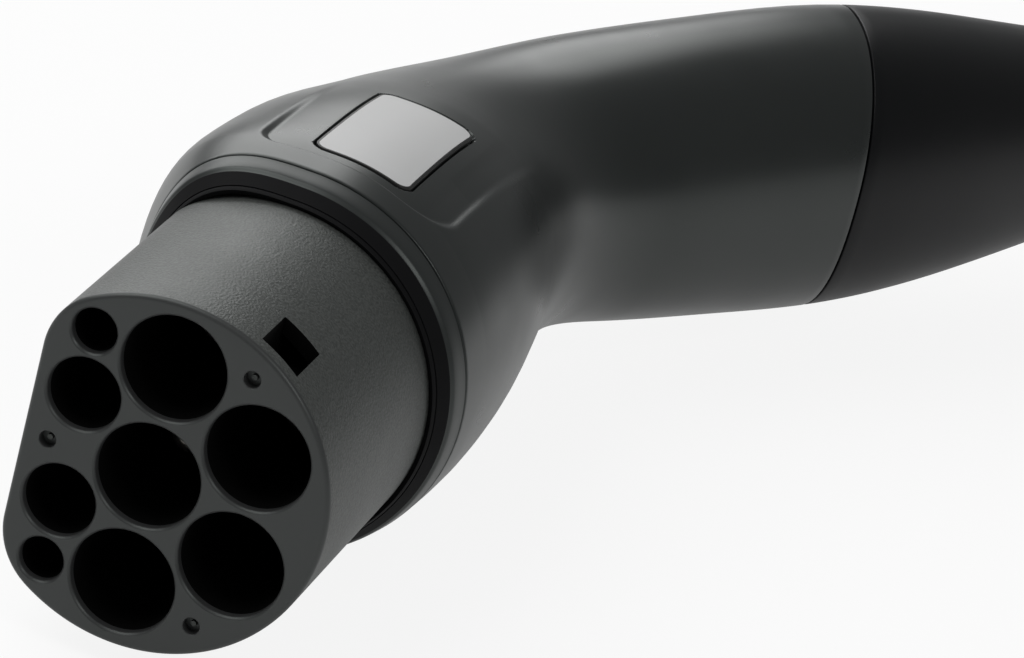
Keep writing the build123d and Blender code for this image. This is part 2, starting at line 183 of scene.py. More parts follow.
def grain_group():
    """Shared moulding texture. Height is 0.7 x fine noise + 0.3 x noise three times as large, as a
    bump; Speckle is the fine noise spread to 0..1; Shade is the broad mottling of soft gloss."""
    group = bpy.data.node_groups.new("moulded_grain", "ShaderNodeTree")
    for name, value in (("Grain Size", 0.0004), ("Depth", 0.00002)):
        socket = group.interface.new_socket(name=name, in_out="INPUT", socket_type="NodeSocketFloat")
        socket.default_value = value
    for name, kind in (("Normal", "Vector"), ("Shade", "Float"), ("Speckle", "Float")):
        group.interface.new_socket(name=name, in_out="OUTPUT", socket_type="NodeSocket" + kind)
    nodes, link = group.nodes, group.links.new
    given, out = nodes.new("NodeGroupInput"), nodes.new("NodeGroupOutput")
    place = nodes.new("ShaderNodeTexCoord")
    scale = nodes.new("ShaderNodeMath")
    scale.operation = "DIVIDE"
    scale.inputs[0].default_value = 1.0
    link(given.outputs["Grain Size"], scale.inputs[1])
    fine, large = nodes.new("ShaderNodeTexNoise"), nodes.new("ShaderNodeTexNoise")
    coarser = nodes.new("ShaderNodeMath")
    coarser.operation = "MULTIPLY"
    coarser.inputs[1].default_value = LARGE_SCALE
    link(scale.outputs[0], coarser.inputs[0])
    link(scale.outputs[0], fine.inputs["Scale"])
    link(coarser.outputs[0], large.inputs["Scale"])
    for noise in (fine, large):
        noise.inputs["Detail"].default_value = 1.5
        link(place.outputs["Object"], noise.inputs["Vector"])
    height = nodes.new("ShaderNodeMix")
    height.inputs[0].default_value = LARGE_SHARE
    link(fine.outputs[0], height.inputs[2])
    link(large.outputs[0], height.inputs[3])
    bump = nodes.new("ShaderNodeBump")
    link(height.outputs[0], bump.inputs["Height"])
    link(given.outputs["Depth"], bump.inputs["Distance"])
    link(bump.outputs[0], out.inputs["Normal"])
    speckle = nodes.new("ShaderNodeMapRange")
    speckle.inputs["From Min"].default_value, speckle.inputs["From Max"].default_value = 0.35, 0.65
    link(fine.outputs[0], speckle.inputs["Value"])
    link(speckle.outputs[0], out.inputs["Speckle"])
    mottle = nodes.new("ShaderNodeTexNoise")
    mottle.inputs["Scale"].default_value = MOTTLE_SCALE
    mottle.inputs["Detail"].default_value = 4.0
    link(place.outputs["Object"], mottle.inputs["Vector"])
    link(mottle.outputs[0], out.inputs["Shade"])
    return group


GRAIN = grain_group()
GREENISH = (0.93, 1.0, 0.96)           # colour of the sheen on all the hard mouldings


def finish(name, dark, light, rough, rough_spread=0.0, grain=0.0004, depth=0.0, metallic=0.0,
           specular=0.5, tint=(1, 1, 1), colour_from="Shade"):
    """Material: colour runs from dark to light with one output of the grain, and roughness is
    rough - spread to rough + spread with the mottling. Grain and depth are in metres."""
    material = bpy.data.materials.new(name)
    material.use_nodes = True
    nodes, link = material.node_tree.nodes, material.node_tree.links.new
    shader = nodes["Principled BSDF"]
    texture = nodes.new("ShaderNodeGroup")
    texture.node_tree = GRAIN
    texture.inputs["Grain Size"].default_value = grain
    texture.inputs["Depth"].default_value = depth
    colour = nodes.new("ShaderNodeMix")
    colour.data_type = "RGBA"
    colour.inputs[6].default_value = (*dark, 1)
    colour.inputs[7].default_value = (*light, 1)
    link(texture.outputs[colour_from], colour.inputs[0])
    link(colour.outputs[2], shader.inputs["Base Color"])
    spread = nodes.new("ShaderNodeMapRange")
    spread.inputs["From Min"].default_value, spread.inputs["From Max"].default_value = 0.3, 0.7
    spread.inputs["To Min"].default_value = rough - rough_spread
    spread.inputs["To Max"].default_value = rough + rough_spread
    link(texture.outputs["Shade"], spread.inputs["Value"])
    link(spread.outputs[0], shader.inputs["Roughness"])
    link(texture.outputs["Normal"], shader.inputs["Normal"])
    shader.inputs["Metallic"].default_value = metallic
    shader.inputs["Specular IOR Level"].default_value = specular
    shader.inputs["Specular Tint"].default_value = (*tint, 1)
    return material


def dress(obj, *materials):
    """Puts materials on a piece in place of those it has."""
    obj.data.materials.clear()
    for material in materials:
        obj.data.materials.append(material)


PANEL_CENTRE, PANEL_SIZE, PANEL_CORNER, PANEL_DEPTH = (92.0, -3.65), (69.0, 33.3), 5.0, 0.8
PANEL_START, PANEL_FADE, PANEL_WALL, PANEL_LOW_CORNER = 57.5, 104.0, 1.5, 9.0
# the panel's edge on the bend's side stays deep for longer than its floor does
RIDGE_END, RIDGE_FADE, RIDGE_Y, RIDGE_EASE = 112.0, 36.0, -12.6, 4.0
PLATE_CENTRE, PLATE_SIZE, PLATE_CORNER, PLATE_GAP = (79.5, -3.7), (35.0, 16.2), 2.4, 0.62
POCKET_DEPTH, POCKET_WALL = 1.0, 0.2


def panel_depth(s):
    """Depth of the thumb panel's floor: full at its front, falling evenly to nothing."""
    return PANEL_DEPTH * np.clip((PANEL_FADE - s) / (PANEL_FADE - PANEL_START), 0, 1)


def top_recess(s, x, y, up):
    """Depth of the thumb panel and of the label's pocket below the bulb's own surface."""
    edge = rounded_box_distance(x, y, PANEL_CENTRE, PANEL_SIZE, PANEL_CORNER, PANEL_LOW_CORNER)
    panel = ease(-edge / PANEL_WALL)
    size = (PLATE_SIZE[0] + 2 * PLATE_GAP, PLATE_SIZE[1] + 2 * PLATE_GAP)
    pocket = ease(-rounded_box_distance(x, y, PLATE_CENTRE, size, PLATE_CORNER + PLATE_GAP) / POCKET_WALL)
    ridge = PANEL_DEPTH * np.clip((RIDGE_END - s) / RIDGE_FADE, 0, 1) * ease((RIDGE_Y - y) / RIDGE_EASE)
    return np.where(up, panel * np.maximum(panel_depth(s), ridge) + pocket * POCKET_DEPTH, 0)


def ring_turns(s, top_from=-23.0, top_to=15.6, fine=0.25, coarse=70):
    """Angles of the grid's columns: even steps across the top panel, then evenly round the rest."""
    near = np.minimum(s, PANEL_ROWS_END)
    plus, minus, _tall = reaches(near)
    across = np.arange(top_from, top_to + fine / 2, fine)
    side = np.where(across[None] > 0, plus[:, None], minus[:, None])
    across, near = np.broadcast_to(across[None], side.shape), np.broadcast_to(near[:, None], side.shape)
    top = turn_of(across, near, side)
    rest = np.linspace(0, 1, coarse + 2)[1:-1][None]
    around = top[:, -1:] + (top[:, :1] - 2 * pi - top[:, -1:]) * rest
    return np.concatenate([top, around], 1)


def cap_seam_distance(turn):
    """Distance along the line at which each angle meets the cap's leaning parting plane:
    s = seam + across x tan(tilt), where across is the skin's own at s, found by repeating."""
    s = np.full(turn.shape, CAP_SEAM)
    for _ in range(6):
        plus, minus, _tall = reaches(s)
        c = np.cos(turn)
        across = np.sign(c) * np.where(c > 0, plus, minus) * np.abs(c) ** (2 / squareness(s, c > 0))
        s = CAP_SEAM + across * np.tan(CAP_TILT)
    return s


def housing_piece():
    """Closed shell on one grid: the outside from the front groove to the cap's seam, round the
    seam's edge, and back along the inside, which is the same skin less the wall."""
    front = [SEAM_X + ahead for ahead, _inset in GROOVE_EDGE] + [SEAM_X + 0.52]
    rows = np.concatenate([front, np.linspace(52.6, 55.5, 4), np.arange(55.8, PANEL_ROWS_END, 0.25),
                           np.linspace(100.6, SQUARE_END, 60)])
    inset = np.zeros(len(rows))
    inset[:len(GROOVE_EDGE)] = [deep for _ahead, deep in GROOVE_EDGE]
    turn = ring_turns(rows)
    s = np.broadcast_to(rows[:, None], turn.shape)
    flat = skin(s, turn, 0)
    depth = top_recess(s, flat[..., 0], flat[..., 1], np.sin(turn) > 0) + inset[:, None]
    outer = skin(s, turn, depth)
    # the last stretch runs to the leaning seam: part of the way, distance short of it, inset
    last = turn[-1]
    end = cap_seam_distance(last)
    span = [(0.25, 0, 0.0), (0.5, 0, 0.0), (0.75, 0, 0.0), (1, GROOVE_LAND, 0.0)]
    span += [(1, short, deep) for short, deep in GROOVE_EDGE[::-1]] + [(1, 0, WALL)]
    tail = [skin(SQUARE_END + (end - short - SQUARE_END) * part, last, np.full(last.shape, deep))
            for part, short, deep in span]
    inner_rows = np.concatenate([np.linspace(SQUARE_END, 62, 40), [SEAT_END + 0.05, SEAT_END - 0.05, SEAM_X]])
    inner_inset = np.where(inner_rows > SEAT_END, WALL, SEAT_WALL)
    inner_s = np.broadcast_to(inner_rows[:, None], (len(inner_rows), len(last)))
    inner = skin(inner_s, np.broadcast_to(last, inner_s.shape), inner_inset[:, None])
    points = np.concatenate([outer, np.array(tail), inner])
    faces = quads(points.shape[0], points.shape[1], close_rows=True, close_cols=True)
    return piece_from("housing_shell", points, faces[:, ::-1])


housing = housing_piece()
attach(housing, "root")
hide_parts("housing")
satin_black = finish("housing_plastic", (0.0105, 0.0115, 0.0115), (0.0135, 0.0148, 0.0148), 0.3, 0.03,
                     0.0005, 0.000004, tint=GREENISH)
dress(housing, satin_black)

# ============================================================ rear cap
# The cap is a second moulding, in a blacker and less shiny plastic. It closes the grip along a
# leaning seam, tapers to the cord's opening and ends in a small rounded lip round the cable seal.
CAP_END, CAP_MOUTH = 298.0, 1.2        # end of the cap, and the round of its lip
SEAT_R, SEAT_EDGE, SEAT_DEEP = 11.0, 0.3, 284.0
CAP_ROWS_END = 230.0                   # the inner rows run forward to here, or to just behind the seam


def rear_cap_piece():
    """Closed shell on one grid: the seam's edge, the outside, a quarter circle for the lip, the
    round seat of the cable seal, and back along the inside, which is the skin less the wall."""
    turn = ring_turns(np.array([CAP_SEAM]), coarse=90, fine=0.8)[0]
    start = cap_seam_distance(turn)
    lead = [(0.0, WALL)] + GROOVE_EDGE + [(GROOVE_LAND, 0.0)]
    rows = [skin(start + ahead, turn, np.full(turn.shape, inset)) for ahead, inset in lead]
    lip = CAP_END - CAP_MOUTH
    for part in np.linspace(0.03, 1, 44):
        s = start + GROOVE_LAND + (lip - start - GROOVE_LAND) * part
        rows.append(skin(s, turn, np.zeros(turn.shape)))
    for bow in np.linspace(0, pi / 2, 6)[1:]:
        s = np.full(turn.shape, lip + CAP_MOUTH * sin(bow))
        rows.append(skin(s, turn, np.full(turn.shape, CAP_MOUTH * (1 - cos(bow)))))
    for s_in, radius in ((CAP_END, SEAT_R + SEAT_EDGE), (CAP_END - SEAT_EDGE, SEAT_R), (SEAT_DEEP, SEAT_R)):
        x, y, angle = centre_line(np.array(s_in))
        across, rise = radius * np.cos(turn), radius * np.sin(turn)
        rows.append(np.stack([x + across * np.sin(angle), y + across * np.cos(angle), rise], -1))
    for s_in in np.linspace(SEAT_DEEP - 0.1, CAP_ROWS_END, 14):
        s = np.maximum(np.full(turn.shape, s_in), start + 0.5)
        rows.append(skin(s, turn, np.full(turn.shape, WALL)))
    points = np.array(rows)
    faces = quads(points.shape[0], points.shape[1], close_rows=True, close_cols=True)
    return piece_from("rear_cap_shell", points, faces[:, ::-1])


rear_cap = rear_cap_piece()
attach(rear_cap, "root")
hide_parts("rear_cap")
cap_black = finish("cap_plastic", (0.003, 0.0032, 0.0038), (0.004, 0.0043, 0.005), 0.38, 0.03,
                   0.0005, 0.000004, specular=0.17)
dress(rear_cap, cap_black)

# ============================================================ front ring
# The ring is a satin black moulding that snaps into the housing's mouth and traps the carrier's
# flange. Its front slopes back from the nose to a rounded rim, and a narrow band runs from the
# rim to the parting groove.
RING_FRONT, RIM_X = 44.1, 48.0
# half sizes (towards the flat, away from it, up) at the slope's foot, the rim and the band's end
CONE_START = np.array([20.5, 28.5, 28.5])
RIM = np.array([23.1, 30.8, 30.8])
BAND_END = np.array([23.7, 31.4, 31.4])
SEAL_T, LIP = 1.3, 0.6
AROUND = np.linspace(0, 2 * pi, 241)[:-1]


def ring_rows(profile, turn):
    """Ring surface: each profile step gives x, the three half sizes and an inset to them."""
    rows = []
    for x, sizes, inset in profile:
        s = np.full(turn.shape, x)
        rows.append(skin(s, turn, np.full(turn.shape, inset), [np.full(turn.shape, v) for v in sizes]))
    return np.array(rows)


def cone_sizes(part):
    """Half sizes of the sloping front, part of the way from its foot to the rim."""
    return CONE_START + (RIM - CONE_START) * part


def front_ring_piece():
    """Closed ring: bore, sloping front, rounded rim, band, parting groove and rear skirt."""
    slope = RIM_X - RING_FRONT
    band = [(x, RIM + (BAND_END - RIM) * (x - RIM_X) / (SEAM_X - RIM_X), 0.0)
            for x in (48.9, 49.5, 50.3, 51.2)]
    profile = [(46.2, CONE_START, 0.2), (RING_FRONT + SEAL_T, CONE_START, 0.2)]
    profile += [(RING_FRONT + SEAL_T + slope * part, cone_sizes(part), 0.0) for part in (0.1, 0.4, 0.72)]
    profile += [(RIM_X - 0.62, RIM, LIP + 0.02), (RIM_X - 0.5, RIM, LIP - 0.04), (RIM_X - 0.28, RIM, 0.3),
                (RIM_X - 0.05, RIM, 0.1), (RIM_X + 0.25, RIM, 0.0)]
    profile += band
    profile += [(SEAM_X - 0.34, BAND_END, 0.05), (SEAM_X - 0.26, BAND_END, 0.16),
                (SEAM_X - 0.25, BAND_END, 0.5), (SEAM_X, BAND_END, 0.5), (SEAM_X, BAND_END, 2.0),
                (57.2, BAND_END, 2.0), (57.2, BAND_END, 3.3)]
    points = ring_rows(profile, AROUND)
    return piece_from("front_ring_band", points, quads(*points.shape[:2], close_rows=True, close_cols=True))


front_ring = front_ring_piece()
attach(front_ring, "root")
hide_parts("front_ring")
ring_black = finish("ring_plastic", (0.014, 0.0152, 0.0152), (0.018, 0.0195, 0.0195), 0.36, 0.03,
                    0.0005, 0.000006, tint=GREENISH)
dress(front_ring, ring_black)

# ============================================================ rubber face of the ring
# A soft black washer lies in the ring's sloping front, from the foot of the nose to a thin lip
# at the rim. A fine bead near the nose marks where it hugs the moulding.


def face_seal_piece():
    """Closed washer: its foot on the nose, the sloping face with the bead, the lip, and back."""
    rise = RIM_X - RING_FRONT
    slope = [(RING_FRONT + rise * part, cone_sizes(part), 0.0) for part in (0.0, 0.14, 0.17, 0.21, 0.5, 0.78)]
    slope[2] = (slope[2][0] + 0.22, slope[2][1], 0.05)
    profile = [(RING_FRONT + 0.3, CONE_START, 0.62)] + slope
    profile += [(RIM_X - 0.86, RIM, LIP + 0.16), (RIM_X - 0.7, RIM, LIP + 0.08),
                (RIM_X - 0.4, RIM, LIP + 0.08)]
    profile += [(RING_FRONT + SEAL_T + rise * part - 0.02, cone_sizes(part), 0.0)
                for part in (0.6, 0.3, 0.0)]
    profile += [(RING_FRONT + SEAL_T - 0.02, CONE_START, 0.62)]
    points = ring_rows(profile, AROUND)
    return piece_from("face_seal_washer", points, quads(*points.shape[:2], close_rows=True, close_cols=True))


face_seal = face_seal_piece()
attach(face_seal, "root")
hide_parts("face_seal")
rubber = finish("seal_rubber", (0.0035, 0.0035, 0.004), (0.005, 0.005, 0.0055), 0.65, 0.05,
                0.0006, 0.00001, specular=0.1)
dress(face_seal, rubber)

# ============================================================ label plate
# A thin satin silver plate with rounded corners, bent to the bulb's curve and let into a pocket
# # of its own. It is bare but for a narrow near-black band round its edge, which is painted shade
# # standing for the shadow in the gap round the plate.
# the band of faces next to the edge is painted near black as the gap's shadow
PLATE_T, PLATE_PROUD, PLATE_EDGE, PLATE_SHADE_BAND = 0.65, 0.06, 0.16, 0.42
PLATE_STEP, SHADE_BAND_ROWS = 0.7, 4       # spacing of its edge points, and rows of faces in black


def plate_ring(grow):
    """Rounded rectangle, grown evenly: straight sides in steps, and a quarter circle per corner."""
    half = np.array(PLATE_SIZE) / 2 - PLATE_CORNER
    radius = PLATE_CORNER + grow
    points = []
    for k, (sx, sy) in enumerate(((1, 1), (-1, 1), (-1, -1), (1, -1))):
        bow = np.linspace(0, pi / 2, 14) + k * pi / 2
        corner = np.array([sx, sy]) * half
        points.append(corner + radius * np.stack([np.cos(bow), np.sin(bow)], -1))
        run = 2 * half[0] if k % 2 == 0 else 2 * half[1]
        along = np.array([(-1, 0), (0, -1), (1, 0), (0, 1)][k]) * run
        steps = int(run / PLATE_STEP)
        points.append(points[-1][-1] + along * (np.arange(1, steps) / steps)[:, None])
    return np.concatenate(points)


def drape(flat, drop):
    """Points of the plate's plan laid on the panel's floor, less a drop."""
    x, y = flat[:, 0] + PLATE_CENTRE[0], flat[:, 1] + PLATE_CENTRE[1]
    plus, minus, _tall = reaches(x)
    turn = turn_of(y, x, np.where(y > 0, plus, minus))
    return np.stack([x, y, skin(x, turn, panel_depth(x) + drop)[:, 2]], -1)


def label_plate_piece():
    """Closed plate: rings from its underside over the rounded edge to its middle, and the count
    of faces in the band of painted shade. The first rings are rows of quads, and both middles are fans."""
    plan = [(plate_ring(0.0), PLATE_T), (plate_ring(0.0), PLATE_EDGE), (plate_ring(-0.05), 0.05),
            (plate_ring(-PLATE_EDGE), 0.0), (plate_ring(-PLATE_SHADE_BAND), 0.0)]
    plan += [(plate_ring(-PLATE_SHADE_BAND) * shrink, 0.0) for shrink in np.linspace(0.94, 0.06, 14)]
    points = np.array([drape(flat, drop - PLATE_PROUD) for flat, drop in plan])
    rows, step = points.shape[:2]
    faces = [list(f) for f in quads(rows, step, close_cols=True)]
    last, middle, under = (rows - 1) * step, rows * step, rows * step + 1
    faces += [[last + i, last + (i + 1) % step, middle] for i in range(step)]
    faces += [[(i + 1) % step, i, under] for i in range(step)]
    hubs = [drape(np.zeros((1, 2)), drop - PLATE_PROUD) for drop in (0.0, PLATE_T)]
    points = np.concatenate([points.reshape(-1, 3), *hubs])
    return piece_from("label_plate_bare", points, faces), SHADE_BAND_ROWS * step


label_plate, shade_band_faces = label_plate_piece()
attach(label_plate, "root")
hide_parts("label_plate")
silver = finish("label", (0.48, 0.48, 0.48), (0.52, 0.52, 0.52), 0.5, 0.04, 0.0003, 0.000002, specular=0.3)
# painted shade: near-black band round the plate's edge, standing for the shadow in the gap
gap_shade = finish("label_painted_gap_shade", (0.006, 0.006, 0.006), (0.008, 0.008, 0.008), 0.5, 0.03)
dress(label_plate, silver, gap_shade)
in_shade_band = (np.arange(len(label_plate.data.polygons)) < shade_band_faces).astype(int)
label_plate.data.polygons.foreach_set("material_index", in_shade_band)

# ============================================================ contact carrier
# The nose is one hard moulding with a fine spark texture: a round plug with one flat side, nine
# # holes from its face and a window for the locking bolt on each side, over a hollow pocket. The
# # walls inside the holes and the pockets carry painted shade in place of their own grey.
NOSE_R, NOSE_FLAT, CORNER_R, EDGE_R = 27.8, 19.8, 11.4, 0.8
PITCH = 17.5
POWER = [(0, 0), (0, PITCH), (0, -PITCH), (-PITCH * cos(radians(30)), PITCH / 2),
         (-PITCH * cos(radians(30)), -PITCH / 2)]
SIGNAL = [(12.1, PITCH / 2), (12.1, -PITCH / 2)]
GUIDES = [(12.7, 18.8), (12.7, -18.8)]
DIMPLES = [(-11.7, 20.3), (-11.7, -20.3), (15.8, 0.0)]
HOLE_END, WEB_END, GUIDE_END = 40, 44, 36
WINDOW_X, WINDOW_Y, WINDOW_FLOOR, CORE_R, CORE_END = (2.9, 12.5), (-17.2, -10.9), 18.0, 25.4, 34.0
WINDOW_CLEAR = 0.007                   # angle round a window's edge with no other column
CARRIER_END, FLANGE_X, FLANGE_END = 68.0, 57.3, 60.3
FLANGE_RISE, REAR_SINK = 1.7, -1.4     # flange beyond the nose's outline, rear body inside it
EDGE_ROWS, MOUTH_ROWS = 6, 4           # rows of faces in the nose's front edge and a hole's mouth
# the walls inside the holes and the window pockets are painted near black: painted shade
SPARKED, SHADED_INSIDE, FACE = 0, 1, 2         # finishes: outer wall, inside of the holes, front face


def nose_outline():
    """Outline points (y, z) and outward directions: a circle, two corner arcs, and the flat."""
    corner_z = ((NOSE_R - CORNER_R) ** 2 - (NOSE_FLAT - CORNER_R) ** 2) ** 0.5
    meet = np.arctan2(corner_z, NOSE_FLAT - CORNER_R)
    windows = [np.arccos(y / NOSE_R) for y in WINDOW_Y]
    windows = np.array(windows + [2 * pi - w for w in windows])
    even = np.linspace(meet, 2 * pi - meet, 190)
    even = even[np.abs(even[:, None] - windows[None]).min(1) > WINDOW_CLEAR]
    circle = np.sort(np.concatenate([even, windows]))
    arc = np.linspace(0, meet, 18)
    flat = np.linspace(-corner_z, corner_z, 14)[1:-1]
    round_out = np.stack([np.cos(circle), np.sin(circle)], -1)[1:-1]
    corner_out = np.stack([np.cos(arc), np.sin(arc)], -1)
    corner = np.array([NOSE_FLAT - CORNER_R, corner_z]) + CORNER_R * corner_out
    straight = np.stack([np.full(len(flat), NOSE_FLAT), flat], -1)
    points = np.concatenate([corner, NOSE_R * round_out, corner[::-1] * (1, -1), straight])
    straight_out = np.tile((1.0, 0.0), (len(flat), 1))
    out = np.concatenate([corner_out, round_out, corner_out[::-1] * (1, -1), straight_out])
    return points, out


def inside(point, ring):
    """Whether a point is in a ring: an odd number of its edges cross the line to the right."""
    a, b = ring, np.roll(ring, -1, 0)
    spans = (a[:, 1] > point[1]) != (b[:, 1] > point[1])
    cut = a[:, 0] + (point[1] - a[:, 1]) / np.where(spans, b[:, 1] - a[:, 1], 1) * (b[:, 0] - a[:, 0])
    return (np.count_nonzero(spans & (cut > point[0])) % 2) == 1


def flat_with_holes(rings):
    """Triangles of a flat face between an outer ring and the rings of its holes."""
    flat = np.concatenate(rings)
    edges, first = [], 0
    for ring in rings:
        edges += [(first + i, first + (i + 1) % len(ring)) for i in range(len(ring))]
        first += len(ring)
    _v, _e, faces, origin, *_ = delaunay_2d_cdt([Vector(p) for p in flat], edges, [], 0, 1e-7)
    index = [o[0] for o in origin]
    holes = [(ring.mean(0), np.hypot(*(ring[0] - ring.mean(0)))) for ring in rings[1:]]
    keep = []
    for face in faces:
        ids = [index[i] for i in face]
        middle = flat[ids].mean(0)
        if any(np.hypot(*(middle - c)) < r * 0.999 for c, r in holes):
            continue
        if all(i < len(rings[0]) for i in ids) and not inside(middle, rings[0]):
            continue
        keep.append(ids)
    return keep


def hole_profiles():
    """Each hole as its centre, its points round and its steps (x, radius) from the face inwards."""
    def mouth(radius):
        return [(0, radius + 0.42), (0.08, radius + 0.3), (0.32, radius + 0.06), (0.5, radius), (1.5, radius)]

    def through(radius, neck, body):
        return mouth(radius) + [(20, radius), (HOLE_END, radius), (HOLE_END, neck), (WEB_END, neck),
                                (WEB_END, body), (CARRIER_END, body)]

    dimple = [(0, 1.45), (0.1, 1.33), (1.6, 1.3), (1.6, 0.5), (1.05, 0.42), (1.0, 0)]
    found = [(centre, 64, through(8.1, 3.1, 4.75)) for centre in POWER]
    found += [(centre, 48, through(5.65, 1.6, 3.05)) for centre in SIGNAL]
    guide = mouth(3.45) + [(18, 3.45), (GUIDE_END, 3.45), (GUIDE_END, 0)]
    found += [(centre, 40, guide) for centre in GUIDES]
    found += [(centre, 32, dimple) for centre in DIMPLES]
    return found


def turn_outwards(mesh):
    """Turns every face of a closed mesh outwards."""
    work = bmesh.new()
    work.from_mesh(mesh)
    bmesh.ops.recalc_face_normals(work, faces=work.faces)
    work.to_mesh(mesh)
    work.free()
    mesh.set_sharp_from_angle(angle=radians(30))


def contact_carrier_piece():
    """Closed moulding and the finish of each face. The wall is the outline grown by a step at
    each x, with two windows cut out and lined. The holes are profiles turned about their
    centres, and the front and rear faces fill what lies between the rings."""
    base, out = nose_outline()
    cols = len(base)
    steps = [(0, -EDGE_R - 0.02)]
    steps += [(EDGE_R * (1 - cos(a)), -EDGE_R * (1 - sin(a))) for a in np.linspace(0.25, pi / 2, EDGE_ROWS)]
    steps += [(x, 0) for x in (1.8, WINDOW_X[0], 5.3, 7.7, 10.1, WINDOW_X[1], 16, 20, 25, 30, 35, 40, 44, 50)]
    steps += [(FLANGE_X, 0), (FLANGE_X, FLANGE_RISE), (FLANGE_END, FLANGE_RISE), (FLANGE_END, REAR_SINK),
              (CARRIER_END, REAR_SINK)]
    wall = np.array([np.column_stack([np.full(cols, x), base + out * grow]) for x, grow in steps])
    points = [wall.reshape(-1, 3)]
    xs = np.array([x for x, _grow in steps])
    grid = quads(len(steps), cols, close_cols=True)
    row, col = grid[:, 0] // cols, grid[:, 0] % cols
    middle_y = (base[col, 0] + base[(col + 1) % cols, 0]) / 2
    middle_x = (xs[row] + xs[row + 1]) / 2
    cut = (middle_x > WINDOW_X[0]) & (middle_x < WINDOW_X[1])
    cut &= (middle_y > WINDOW_Y[0]) & (middle_y < WINDOW_Y[1])
    faces = [list(f) for f in grid[~cut]]
    pocket_from = len(faces)
    count = len(wall) * cols
    # pockets behind the two windows
    first_row, last_row = list(xs).index(WINDOW_X[0]), list(xs).index(WINDOW_X[1])
    for side in (1, -1):
        strip = [c for c in range(cols) if WINDOW_Y[0] - 1e-3 <= base[c, 0] <= WINDOW_Y[1] + 1e-3
                 and base[c, 1] * side > 0]
        y = base[strip, 0]
        ceiling = (CORE_R ** 2 - y ** 2) ** 0.5
        floor = np.full(len(y), WINDOW_FLOOR)
        levels = [(WINDOW_X[0], floor), (CORE_END, floor), (CORE_END, ceiling), (WINDOW_X[1], ceiling)]
        rows = [[first_row * cols + c for c in strip]]
        for x, level in levels:
            points.append(np.column_stack([np.full(len(y), x), y, level * side]))
            rows.append(list(range(count, count + len(y))))
            count += len(y)
        rows.append([last_row * cols + c for c in strip])
        for a, b in zip(rows[:-1], rows[1:]):
            faces += [[a[i + 1], a[i], b[i], b[i + 1]] for i in range(len(strip) - 1)]
        for end, flip in ((0, False), (-1, True)):
            column = strip[end]
            rim = [r * cols + column for r in range(last_row - 1, first_row, -1)]
            loop = [r[end] for r in rows] + rim
            faces.append(loop[::-1] if flip else loop)
    # holes, then the two flat faces between them
    front_rings, front_ids = [base + out * steps[0][1]], [list(range(cols))]
    back_rings = [base + out * steps[-1][1]]
    back_ids = [list(range((len(steps) - 1) * cols, len(steps) * cols))]
    # faces inside the window pockets and down the holes take the near-black painted shade
    zones = [(0, EDGE_ROWS * cols, FACE), (pocket_from, len(faces), SHADED_INSIDE)]
    for centre, around, profile in hole_profiles():
        t = np.linspace(0, 2 * pi, around + 1)[:-1]
        circle = np.stack([np.cos(t), np.sin(t)], -1)
        closed = profile[-1][1] == 0
        body = profile[:-1] if closed else profile
        rings = [np.column_stack([np.full(around, x), np.array(centre) + circle * r]) for x, r in body]
        points.append(np.concatenate(rings))
        grid = quads(len(body), around, close_cols=True)[:, ::-1] + count
        mouth_end = len(faces) + MOUTH_ROWS * around
        zones.append((len(faces), mouth_end, FACE))
        zones.append((mouth_end, len(faces) + len(grid), FACE if centre in DIMPLES else SHADED_INSIDE))
        faces += [list(f) for f in grid]
        front_rings.append(rings[0][:, 1:])
        front_ids.append(list(range(count, count + around)))
        last = count + (len(body) - 1) * around
        count += len(body) * around
        if closed:
            points.append(np.array([[profile[-1][0], *centre]]))
            faces += [[last + (i + 1) % around, last + i, count] for i in range(around)]
            count += 1
        else:
            back_rings.append(rings[-1][:, 1:])
            back_ids.append(list(range(last, last + around)))
    for rings, ids, flip in ((front_rings, front_ids, False), (back_rings, back_ids, True)):
        flat = [i for part in ids for i in part]
        face_from = len(faces)
        for tri in flat_with_holes(rings):
            face = [flat[i] for i in tri]
            faces.append(face[::-1] if flip else face)
        zones.append((face_from, len(faces), SPARKED if flip else FACE))
    obj = piece_from("contact_carrier_nose", np.concatenate(points), faces, sharp=30)
    turn_outwards(obj.data)
    finish_index = np.full(len(faces), SPARKED)
    for start, stop, index in zones:
        finish_index[start:stop] = index
    return obj, finish_index


carrier, finish_index = contact_carrier_piece()
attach(carrier, "root")
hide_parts("contact_carrier")
spark_grey = finish("nose_plastic", (0.03, 0.0315, 0.03), (0.06, 0.063, 0.06), 0.45, 0.03, 0.0004, 0.00013,
                    tint=GREENISH, colour_from="Speckle")
# painted shade: near-black colour inside the holes and pockets, far darker than the nose's own grey
core_shade = finish("nose_painted_shade", (0.0015, 0.0015, 0.0015), (0.0025, 0.0025, 0.0025), 0.7, 0.03, specular=0.08)
face_grey = finish("nose_face", (0.031, 0.0315, 0.032), (0.036, 0.0365, 0.037), 0.42, 0.03,
                   0.0004, 0.00001, tint=GREENISH)
dress(carrier, spark_grey, core_shade, face_grey)
carrier.data.polygons.foreach_set("material_index", finish_index)

# ============================================================ contacts
# Seven turned brass contacts, silver plated and a little dull, stand deep in their holes. Each is
# pushed in from behind through the carrier's web and is held there by the retainer.
plated = finish("contact_metal", (0.32, 0.3, 0.27), (0.42, 0.4, 0.36), 0.38, 0.06, metallic=1.0)
for name in ("pin_pe", "pin_n", "pin_l1", "pin_l2", "pin_l3", "pin_cp", "pin_pp"):
    dress(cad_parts[name], plated)

# ============================================================ inner plastic
# The retainer behind the contacts and the two halves of the cord clamp are plain dark mouldings.
# The retainer is screwed to the carrier, and the clamp's bridge is screwed down on its saddle.
inner_grey = finish("inner_plastic", (0.1, 0.1, 0.1), (0.13, 0.13, 0.13), 0.5, 0.04)
for name in ("contact_retainer", "clamp_saddle", "clamp_bridge"):
    dress(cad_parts[name], inner_grey)

